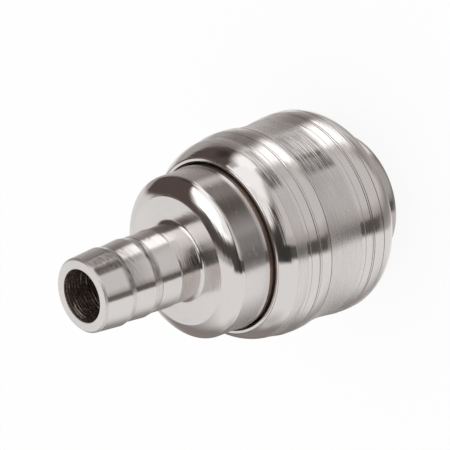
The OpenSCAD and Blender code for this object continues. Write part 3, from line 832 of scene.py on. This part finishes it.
def makeLockingSleeve(s):
    # the section runs from the lip down the outside to the front face and back up over the ramp and the land
    crest, end, waistEnd = s["crest"], s["end"], s["waistEnd"]
    shoulder = bowedLine((s["lipRim"], end - 0.05), (s["shoulderR"], s["shoulderZ"]), -s["shoulderRise"], 24)
    upper = shoulder[:, 1] > s["brushedZ"]
    cuts = s["cuts"]
    waistCut, (_, waistAfter, _) = cutLine("groove", crest - hair, s["waistZ"] + 0.05, cuts)
    domeCut, (_, domeAfter, _) = cutLine("groove", crest - hair, s["domeZ"], cuts)
    rearR = np.interp(-s["rearScribe"], [-s["shoulderZ"], -s["rearLine"]], [s["shoulderR"], crest])
    frontR = np.interp(-s["frontScribe"], [-s["landZ"], -s["frontLine"]], [waistEnd, crest])
    rearCrest = (crest, s["crestScribe"] - 0.1), (crest - hair, s["waistZ"] + 0.12)
    frontCrest = (crest, s["secondLine"] - 0.08), (crest - hair, s["domeZ"] + 0.07)
    stretches = [
        ("lip", [(s["lipBore"], end - s["lipLead"]), (s["lipInner"], end), (s["lipEdge"], end)], 0.03),
        ("groove", [(s["lipRim"] - 0.06, end - s["lipStep"]), (s["lipRim"] - 0.03, end - s["lipDrop"])], hair),
        ("bright", shoulder[upper], 0.02),
        ("brushed", shoulder[~upper]),
        ("land", (s["shoulderR"] + 0.003, s["shoulderZ"] - hair), 0),
        *cutLine("scribe", rearR, s["rearScribe"], cuts),
        *cutLine("groove", crest, s["rearLine"], cuts),
        *cutLine("scribe", crest, s["crestScribe"], cuts),
        ("land", bowedLine(*rearCrest, -s["crestRise"])),
        waistCut,
        ("waist", bowedLine(waistAfter, (waistEnd, s["landZ"]), s["waistSink"], 16)),
        ("land", (waistEnd + 0.002, s["landZ"] - hair), 0),
        *cutLine("scribe", frontR, s["frontScribe"], cuts),
        *cutLine("groove", crest, s["frontLine"], cuts),
        *cutLine("groove", crest, s["secondLine"], cuts),
        ("land", bowedLine(*frontCrest, -s["crestRise"])),
        domeCut,
        ("bright", bowedLine(domeAfter, (s["frontFace"], s["front"]), -s["domeRise"], 20)),
        ("faced", (s["frontFace"] - hair, s["front"]), 0),
        ("inside", (s["recess"], s["front"]), 0.1),
        ("inside", [(s["recess"], s["recessTop"]), (s["ramp"], s["recessTop"]), (s["land"], s["rampZ"])]),
        ("inside", [(s["land"], s["floor"]), (s["lipBore"], s["floor"])]),
    ]
    piece = spinOutline("lockingSleeve", stretches, 288, shadePatches=s["shadePatches"])
    dress(piece, nickelPlate, "sleeve", "locking_sleeve", "plated_sleeve")


makeLockingSleeve(sleeveShape)
print("locking sleeve made")


# Coupler body: turned skin with eight tapered ball holes
bodyShape = {
    "mouth": 6.1, "chamfer": 0.8, "outer": 8.4, "noseRound": 1.1,
    "ringZ": 4.9, "ringTop": 5.9, "ringGroove": 7.65,
    "bandLow": 6.2975, "bandHigh": 9.8975, "band": 6.3, "depth": 12.0, "noseBore": 5.1, "step": 1.0,
    "chamberZ": 13.8, "chamber": 6.4, "threadZ": 20.3, "thread": 7.95, "end": 24.6, "threadPitch": 0.9,
    "threadDepth": 0.22, "threadStart": 0.4, "threadStop": 0.3,
    "ballZ": 8.0975, "holes": 8, "holeRadius": 1.6475,
    "rimRadius": 1.5756, "taper": 0.3, "guard": 0.06, "outerLow": 6.1, "outerHigh": 10.1,
    "across": 32, "upright": 16, "rings": 6, "crowding": 1.5, "rounds": 6,
}


def bandPatch(centreAngle, radius, low, high, s, rimAngle=None):
    # a cylinder's sector with a round hole: every row runs from the hole's rim to the sector's border
    n, m, half = s["across"], s["upright"], math.pi / s["holes"]
    side, rise = np.linspace(-half, half, n + 1), np.linspace(low, high, m + 1)
    borderTurn = np.concatenate([side[:-1], np.full(m, half), side[:0:-1], np.full(m, -half)])
    borderZ = np.concatenate([np.full(n, low), rise[:-1], np.full(n, high), rise[:0:-1]])
    angle = np.arctan2(borderZ - s["ballZ"], borderTurn * radius) if rimAngle is None else rimAngle
    hole = np.full_like(angle, s["holeRadius"])
    if rimAngle is None:  # the taper meets the inner band in a curve that a few rounds settle
        for _ in range(s["rounds"]):
            depth = np.sqrt(radius ** 2 - (hole * np.cos(angle)) ** 2)
            hole = s["rimRadius"] + s["taper"] * (depth - radius)
    rimTurn, rimZ = np.arcsin(hole * np.cos(angle) / radius), s["ballZ"] + hole * np.sin(angle)
    share = (np.linspace(0, 1, s["rings"] + 1) ** s["crowding"])[:, None]
    turn = centreAngle + rimTurn + (borderTurn - rimTurn) * share
    return aroundZ(radius, turn, rimZ + (borderZ - rimZ) * share), angle


def bodyStretches(s, lowZ, highZ):
    # the section runs from the ball band down the mouth, round the nose and up to the thread and chamber
    outer, thread, ring = s["outer"], s["thread"], s["ringGroove"]
    ridges = np.arange(s["threadZ"] + s["threadStart"], s["end"] - s["threadStop"], s["threadPitch"] / 2)
    teeth = np.stack([thread - s["threadDepth"] * (np.arange(len(ridges)) % 2), ridges], 1)
    nose = bowedLine((outer - s["noseRound"], 0), (outer, s["noseRound"]), quarterRise(s["noseRound"]), 30)
    return [
        ("inside", (s["band"], lowZ), 0),
        ("inside", [(s["band"], s["bandLow"]), (s["mouth"], s["bandLow"])]),
        ("smooth", (s["mouth"], s["chamfer"])),
        ("faced", (s["mouth"] + s["chamfer"], 0)),
        ("nose", nose),
        ("inside", [(outer, s["ringZ"]), (ring, s["ringZ"]), (ring, s["ringTop"]), (outer, s["ringTop"])]),
        ("smooth", [(outer, s["outerLow"]), (outer, s["outerHigh"])], 0),
        ("smooth", (outer, s["threadZ"])),
        ("inside", (thread, s["threadZ"])),
        ("inside", teeth),
        ("inside", [(thread, s["end"]), (s["chamber"], s["end"]), (s["chamber"], s["chamberZ"])]),
        ("inside", [(s["noseBore"], s["chamberZ"]), (s["noseBore"], s["depth"] + s["step"])]),
        ("inside", [(s["mouth"], s["depth"]), (s["band"], s["bandHigh"])]),
        ("inside", (s["band"], highZ), 0),
    ]


def makeCouplerBody(s):
    # two turned skins, joined by a band with tapered holes, each of which runs out to a hole in the outer band
    lowZ, highZ = s["bandLow"] + s["guard"], s["bandHigh"] - s["guard"]
    outline, tags = traceOutline(bodyStretches(s, lowZ, highZ))
    tags = withLength(outline, tags)
    order = np.roll(np.arange(len(outline)), -nearest(outline, s["outer"], s["outerHigh"]))
    outline, tags = outline[order], tags[order]  # the outline now starts above the outer holes
    ends = [(0, nearest(outline, s["band"], highZ))]
    ends.append((nearest(outline, s["band"], lowZ), nearest(outline, s["outer"], s["outerLow"])))
    verts, quads, marks, count = [], [], [], 0

    def add(grid, tag, flip=False):
        # the grid's quads count on from the points that are there already
        nonlocal count
        verts.append(grid.reshape(-1, 3))
        quads.append(gridQuads(*grid.shape[:2], flip=flip) + count)
        marks.append(tag)
        count += len(verts[-1])

    segments = s["across"] * s["holes"]
    turn = fullTurn(segments) - math.pi / s["holes"]
    for a, b in ends:
        skin = outline[a:b + 1]
        add(aroundZ(skin[:, :1], turn, skin[:, 1:]), np.repeat(tags[a:b + 1], segments, axis=0))
    inside, smooth = (np.array((0.0, *turnedFinish[finish])) for finish in ("inside", "smooth"))
    for k in range(s["holes"]):
        middle = 2 * math.pi * k / s["holes"]
        inner, angle = bandPatch(middle, s["band"], lowZ, highZ, s)
        outer, _ = bandPatch(middle, s["outer"], s["outerLow"], s["outerHigh"], s, angle)
        across, along = s["holeRadius"] * np.cos(angle), s["holeRadius"] * np.sin(angle)
        depth = np.full_like(across, s["band"] + (s["holeRadius"] - s["rimRadius"]) / s["taper"])
        bend = np.stack([depth * math.cos(middle) - across * math.sin(middle),
                         depth * math.sin(middle) + across * math.cos(middle), s["ballZ"] + along], -1)
        wall = np.stack([inner[0], bend, outer[0]])
        for grid, flip in ((inner, False), (outer, True), (wall, True)):
            heights = grid[..., 2].reshape(-1, 1)
            tag = np.repeat((smooth if flip else inside)[None], heights.size, axis=0)
            tag[:, :1] = heights
            add(grid, tag, flip)
    verts, quads, tris, kept = weld(np.concatenate(verts), np.concatenate(quads))
    piece = addMesh("couplerBody", verts, quads, tris)
    paint(piece, np.concatenate(marks)[kept])
    dress(piece, nickelPlate, "socket", "coupler_body", "plated_body")


makeCouplerBody(bodyShape)
print("coupler body made")


# Balls
ballShape = {"radius": 1.5875, "out": 6.6625, "z": 8.0975, "count": 8, "steps": 20}


def makeBalls(s):
    # the six faces of a cube grid, each point pushed out to the ball's radius
    u = np.tan(np.linspace(-math.pi / 4, math.pi / 4, s["steps"] + 1))
    a, b = np.meshgrid(u, u, indexing="ij")
    one = np.ones_like(a)
    sides = ((one, a, b), (-one, b, a), (b, one, a), (a, -one, b), (a, b, one), (b, a, -one))
    grid = np.stack([np.stack(side, -1) for side in sides]).reshape(6, -1, 3)
    grid = grid / np.linalg.norm(grid, axis=-1, keepdims=True) * s["radius"]
    n = s["steps"] + 1
    i, j = np.meshgrid(np.arange(n - 1), np.arange(n - 1), indexing="ij")
    cell = np.stack([i * n + j, (i + 1) * n + j, (i + 1) * n + j + 1, i * n + j + 1], -1).reshape(-1, 4)
    verts, quads, tris, _ = weld(grid.reshape(-1, 3), np.concatenate([cell + k * n * n for k in range(6)]))
    for k in range(s["count"]):
        turn = 2 * math.pi * k / s["count"]
        spot = np.array([s["out"] * math.cos(turn), s["out"] * math.sin(turn), s["z"]])
        piece = addMesh(f"lockingBall{k + 1}", verts + spot, quads, tris)
        dress(piece, ballSteel, f"ball_{k + 1}", f"locking_ball_{k + 1}", "ball_steel")


makeBalls(ballShape)
print("balls made")


# Springs
springShared = {
    "turns": 4.25, "closed": 0.75, "coilGap": 1.02, "stepsPerTurn": 72, "sides": 20,
    "tuck": (0.0, 0.75, 0.94),  # the cut ends are rounded over
    "tuckTurn": 0.002,
}
springShapes = {
    "sleeveSpring": {**springShared, "mean": 9.25, "wire": 0.9, "low": 12.74, "high": 20.58,
                     "node": "sleeve_spring", "joint": "sleeve_slide", "anchor": 20.6, "travel": 3.5},
    "valveSpring": {**springShared, "mean": 4.3, "wire": 0.7, "low": 19.9, "high": 26.08,
                    "node": "valve_spring", "joint": "valve_lift", "anchor": 26.1, "travel": 2.0},
}


def makeSpring(name, s):
    # a circle carried along a helix, whose first and last turns climb only a wire's thickness
    wire, turns, closed, low = (s[key] for key in ("wire", "turns", "closed", "low"))
    climb = s["high"] - low - wire
    count = int(turns * s["stepsPerTurn"]) + 1
    u = np.linspace(0, turns, count)
    shut = closed * wire * s["coilGap"]
    rise = np.interp(u, [0, closed, turns - closed, turns], [0, shut, climb - shut, climb])
    size = np.ones(count)
    size[:3], size[-3:] = s["tuck"], s["tuck"][::-1]
    tuck = s["tuckTurn"]
    turn = 2 * math.pi * np.concatenate([[0, 0, tuck], u[3:-3], [turns - tuck, turns, turns]])
    side = (np.arange(s["sides"]) + 0.5) * 2 * math.pi / s["sides"]
    r = s["mean"] + wire / 2 * size[:, None] * np.cos(side)
    z = low + wire / 2 + rise[:, None] + wire / 2 * size[:, None] * np.sin(side)
    verts = aroundZ(r, turn[:, None], z).reshape(-1, 3)
    piece = addMesh(name, *weld(verts, gridQuads(count, s["sides"], flip=True))[:3])
    dress(piece, springSteel, "socket", s["node"], "spring_steel")
    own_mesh(piece)


for springName, springShape in springShapes.items():
    makeSpring(springName, springShape)
print("springs made")


# Washer, seat ring, seals and gasket
smallRings = {
    # finish, corner ease, corners as (radius, height), material, body, node, slot
    "thrustWasher": ("inside", 0.08, [(8.48, 12.02), (9.94, 12.02), (9.94, 12.72), (8.48, 12.72)],
                     springSteel, "washer", "thrust_washer", "spring_steel"),
    "seatRing": ("land", 0.06, [(4.2, 15.64), (6.38, 15.64), (6.38, 17.24), (5.3, 17.24), (5.0, 17.54),
                                (4.5, 17.54), (4.2, 17.24)], turnedBrass, "socket", "seat_ring", "brass_ring"),
    "valveSeal": ("inside", 0.1, [(4.14, 17.56), (5.6, 17.56), (5.6, 18.56), (4.14, 18.56)],
                  blackRubber, "valve", "valve_seal", "black_rubber"),
    "bodyGasket": ("inside", 0.12, [(6.42, 24.62), (7.93, 24.62), (7.93, 25.38), (6.42, 25.38)],
                   blackRubber, "socket", "body_gasket", "black_rubber"),
}
ringSegments = 192


def makeSmallRings(rings):
    # each ring's section goes round the axis
    for name, (finish, ease, corners, *wear) in rings.items():
        dress(spinOutline(name, [(finish, corners, ease)], ringSegments), *wear)


sealShape = {"z": 13.82, "thick": 1.8, "outer": 6.38, "lipCentre": 5.4, "lip": 0.55, "lipSteps": 25}


def makePlugSeal(s):
    # a square section whose inner side swells into a half round lip
    low, high, centre = s["z"], s["z"] + s["thick"], s["lipCentre"]
    angle = np.linspace(-math.pi / 2, -3 * math.pi / 2, s["lipSteps"])
    lip = np.stack([centre + s["lip"] * np.cos(angle), low + s["thick"] / 2 + s["lip"] * np.sin(angle)], 1)
    corners = [(centre, high), (s["outer"], high), (s["outer"], low), (centre, low)]
    piece = spinOutline("plugSeal", [("inside", lip, 0.08), ("inside", corners, 0.12)], ringSegments)
    dress(piece, blackRubber, "socket", "plug_seal", "black_rubber")


makeSmallRings(smallRings)
makePlugSeal(sealShape)
print("rings and seals made")


# Retaining ring
retainingShape = {"inner": 7.73, "outer": 9.25, "low": 4.91, "high": 5.89, "gap": 3.0, "ease": 0.12,
                  "steps": 220, "tuck": 0.9}


def makeRetainingRing(s):
    # the section is carried round the axis between two flat cuts that stand a gap apart on the +X side
    corners = [(s["inner"], s["low"]), (s["outer"], s["low"]), (s["outer"], s["high"]), (s["inner"], s["high"])]
    section, _ = traceOutline([("inside", corners)], s["ease"])
    centre = section.mean(0)
    size = np.concatenate([[0.0, s["tuck"]], np.ones(s["steps"]), [s["tuck"], 0.0]])[:, None]
    share = np.concatenate([[0, 0], np.linspace(0, 1, s["steps"]), [1, 1]])[:, None]
    r = centre[0] + (section[:, 0] - centre[0]) * size
    z = centre[1] + (section[:, 1] - centre[1]) * size
    edge = np.arcsin(s["gap"] / 2 / r)
    verts = aroundZ(r, edge + share * (2 * math.pi - 2 * edge), z).reshape(-1, 3)
    piece = addMesh("retainingRing", *weld(verts, gridQuads(len(size), len(section), flip=True))[:3])
    dress(piece, springSteel, "socket", "retaining_ring", "spring_steel")


makeRetainingRing(retainingShape)
print("retaining ring made")


# Valve poppet with four windows in its pilot
poppetShape = {
    "bore": 3.0, "pilot": 4.12, "low": 13.44, "ceiling": 18.56, "head": 5.6, "headZ": 18.58, "headTop": 19.88,
    "boss": 3.7, "bossTaper": 0.35, "bossTop": 20.58, "windows": 4, "windowWide": 2.6, "windowLow": 15.76,
    "windowHigh": 17.56, "cells": 14,
}


def strip(inner, outer, keep):
    # quads between two rows of points, turned round unless kept
    quads = np.stack([inner[:-1], outer[:-1], outer[1:], inner[1:]], -1)
    return quads if keep else quads[:, ::-1]


def makePoppet(s):
    # a turned skin whose columns follow the windows' sides; cells in a window are left out and walled round
    n, bore, pilot, head, boss = (s[key] for key in ("cells", "bore", "pilot", "head", "boss"))
    rows = np.linspace(s["windowLow"], s["windowHigh"], n // 2 + 1)
    stretches = [
        ("inside", [(0, s["ceiling"]), (bore, s["ceiling"])], 0.05),
        ("inside", upright(bore, rows[::-1]), 0),
        ("land", [(bore, s["low"]), (pilot, s["low"])], 0.15),
        ("land", upright(pilot, rows), 0),
        ("land", [(pilot, s["headZ"]), (head, s["headZ"]), (head, s["headTop"]), (boss, s["headTop"]),
                  (boss - s["bossTaper"], s["bossTop"]), (0, s["bossTop"])], 0.06),
    ]
    outline, tags = traceOutline(stretches)
    sector = 2 * math.pi / s["windows"]
    edge = np.arcsin(s["windowWide"] / 2 / np.clip(outline[:, 0], bore, pilot))[:, None]
    share = np.arange(n) / n
    window, solid = -edge + 2 * edge * share, edge + (sector - 2 * edge) * share
    turn = np.concatenate([k * sector + part for k in range(s["windows"]) for part in (window, solid)], axis=1)
    columns = turn.shape[1]
    verts = aroundZ(outline[:, :1], turn, outline[:, 1:])
    count = len(outline)
    index = np.arange(count * columns).reshape(count, columns)
    isOpen = np.tile(np.repeat([True, False], n), s["windows"])
    cut = np.zeros(count, bool)
    spans = []
    for r in (bore, pilot):
        a, b = sorted(nearest(outline, r, s[level]) for level in ("windowLow", "windowHigh"))
        cut[a:b] = True
        spans.append(np.arange(a, b + 1) if outline[a, 1] < outline[b, 1] else np.arange(b, a - 1, -1))
    quads = gridQuads(count, columns, closed=True).reshape(count, columns, 4)
    walls = [quads[~(cut[:, None] & isOpen[None, :])]]
    inner, outer = (index[span] for span in spans)  # both run upwards
    for k in range(s["windows"]):
        left, right = 2 * n * k, (2 * n * k + n) % columns
        for column, keep in ((left, False), (right, True)):
            walls.append(strip(inner[:, column], outer[:, column], keep))
        across = np.arange(left, left + n + 1) % columns
        for row, keep in ((0, True), (-1, False)):
            walls.append(strip(inner[row, across], outer[row, across], keep))
    verts, quads, tris, kept = weld(verts.reshape(-1, 3), np.concatenate(walls))
    piece = addMesh("valvePoppet", verts, quads, tris)
    paint(piece, np.repeat(withLength(outline, tags), columns, axis=0)[kept])
    dress(piece, turnedBrass, "valve", "valve_poppet", "brass_valve")


makePoppet(poppetShape)
print("valve poppet made")
